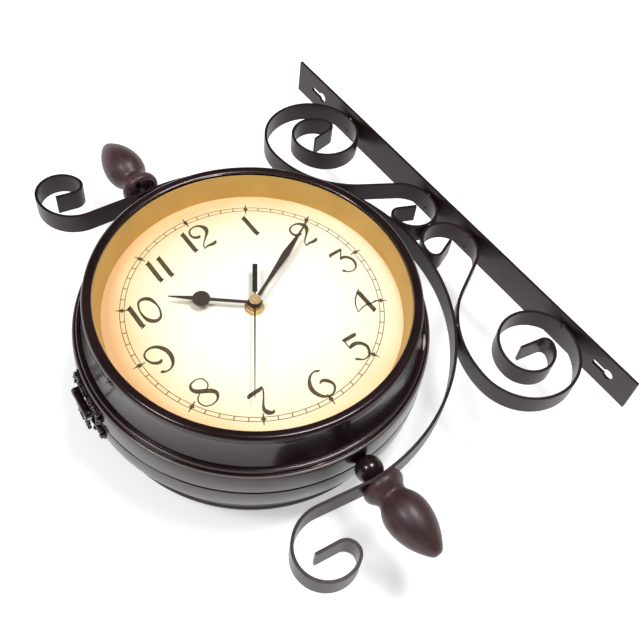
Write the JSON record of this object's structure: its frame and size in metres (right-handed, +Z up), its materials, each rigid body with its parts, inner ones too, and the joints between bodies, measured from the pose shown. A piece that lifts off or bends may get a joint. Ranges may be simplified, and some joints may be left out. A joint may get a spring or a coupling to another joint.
{
  "type": "double sided station clock",
  "caption": "Round double sided clock in a dark hinged metal case, held by a hoop with scrolled straps and wooden finials on a flat wall plate.",
  "frame": {"origin": "middle of the wall plate's back face", "axes": "+X into the wall, +Z up, the front dial faces -Y"},
  "size_m": [0.3001, 0.0966, 0.3878],
  "materials": {
    "bracket_paint": "dark brown-black stove enamel, glossy",
    "case_paint": "dark brown-black stove enamel, glossy",
    "finial_wood": "stained red-brown turned wood, satin",
    "clear_glass": "clear flat glass",
    "reveal_gold": "antique gold, satin",
    "dial_print": "cream printed dial with a warm edge",
    "black_plastic": "black moulded plastic",
    "cell_jacket": "printed cell jacket, left plain",
    "clock_brass": "turned brass",
    "hand_paint": "dark brown paint, matt",
    "plain_steel": "zinc-plated steel",
    "latch_black": "black enamel, glossy"
  },
  "bodies": {
    "bracket": {"wall_plate": "bracket_paint", "upper_scroll": "bracket_paint", "lower_scroll": "bracket_paint", "hoop_strap": "bracket_paint", "weld_beads": "bracket_paint", "top_ball_spacer": "bracket_paint", "bottom_ball_spacer": "bracket_paint", "top_bolt": "plain_steel", "bottom_bolt": "plain_steel", "clamp_nuts": "plain_steel", "top_finial": "finial_wood", "bottom_finial": "finial_wood", "hinge_front_leaf": "case_paint", "hinge_pin": "plain_steel", "hasp_plate": "latch_black", "latch_pin": "plain_steel", "front_case": "case_paint", "front_glass": "clear_glass", "front_reveal": "reveal_gold", "front_dial": "dial_print", "front_pan": "black_plastic", "front_pan_nuts": "plain_steel", "front_movement": "black_plastic", "front_movement_cover": "black_plastic", "front_battery": "cell_jacket", "front_stem_bush": "clock_brass", "front_stem_washer": "clock_brass", "front_stem_nut": "clock_brass"},
    "back_half": {"hinge_back_leaf": "case_paint", "catch_plate": "latch_black", "catch_stud": "latch_black", "back_case": "case_paint", "back_glass": "clear_glass", "back_reveal": "reveal_gold", "back_dial": "dial_print", "back_pan": "black_plastic", "back_pan_nuts": "plain_steel", "back_movement": "black_plastic", "back_movement_cover": "black_plastic", "back_battery": "cell_jacket", "back_stem_bush": "clock_brass", "back_stem_washer": "clock_brass", "back_stem_nut": "clock_brass"},
    "hasp": {"hasp": "latch_black"},
    "front_minute": {"front_minute_hand": "hand_paint", "front_minute_arbor": "black_plastic"},
    "front_hour": {"front_hour_hand": "hand_paint", "front_hour_tube": "black_plastic"},
    "front_second": {"front_second_hand": "hand_paint", "front_second_pipe": "clock_brass"},
    "front_knob": {"front_setting_knob": "black_plastic"},
    "back_minute": {"back_minute_hand": "hand_paint", "back_minute_arbor": "black_plastic"},
    "back_hour": {"back_hour_hand": "hand_paint", "back_hour_tube": "black_plastic"},
    "back_second": {"back_second_hand": "hand_paint", "back_second_pipe": "clock_brass"},
    "back_knob": {"back_setting_knob": "black_plastic"}
  },
  "joints": [
    {"name": "back_half_swing", "type": "hinge", "parent": "bracket", "child": "back_half", "pos_m": [-0.0582, 0.005, -0.006], "axis": [0, 0, -1], "range_deg": [0, 85]},
    {"name": "hasp_lift", "type": "hinge", "parent": "bracket", "child": "hasp", "pos_m": [-0.29681, -0.0005, 0.00364], "axis": [0.0802, 0, 0.9968], "range_deg": [0, 110]},
    {"name": "front_minute_turn", "type": "hinge", "parent": "bracket", "child": "front_minute", "pos_m": [-0.177, -0.028, -0.006], "axis": [0, 1, 0], "continuous": true},
    {"name": "front_hour_turn", "type": "hinge", "parent": "bracket", "child": "front_hour", "pos_m": [-0.177, -0.028, -0.006], "axis": [0, 1, 0], "continuous": true},
    {"name": "front_second_turn", "type": "hinge", "parent": "bracket", "child": "front_second", "pos_m": [-0.177, -0.028, -0.006], "axis": [0, 1, 0], "continuous": true},
    {"name": "front_knob_turn", "type": "hinge", "parent": "bracket", "child": "front_knob", "pos_m": [-0.163, -0.001, 0.006], "axis": [0, 1, 0], "continuous": true},
    {"name": "back_minute_turn", "type": "hinge", "parent": "back_half", "child": "back_minute", "pos_m": [-0.177, 0.038, -0.006], "axis": [0, -1, 0], "continuous": true},
    {"name": "back_hour_turn", "type": "hinge", "parent": "back_half", "child": "back_hour", "pos_m": [-0.177, 0.038, -0.006], "axis": [0, -1, 0], "continuous": true},
    {"name": "back_second_turn", "type": "hinge", "parent": "back_half", "child": "back_second", "pos_m": [-0.177, 0.038, -0.006], "axis": [0, -1, 0], "continuous": true},
    {"name": "back_knob_turn", "type": "hinge", "parent": "back_half", "child": "back_knob", "pos_m": [-0.191, 0.011, 0.006], "axis": [0, -1, 0], "continuous": true}
  ],
  "couplings": [
    {"joint": "front_hour_turn", "follows": "front_minute_turn", "ratio": 0.083333},
    {"joint": "front_second_turn", "follows": "front_minute_turn", "ratio": 60},
    {"joint": "front_knob_turn", "follows": "front_minute_turn", "ratio": -3},
    {"joint": "back_hour_turn", "follows": "back_minute_turn", "ratio": 0.083333},
    {"joint": "back_second_turn", "follows": "back_minute_turn", "ratio": 60},
    {"joint": "back_knob_turn", "follows": "back_minute_turn", "ratio": -3}
  ]
}
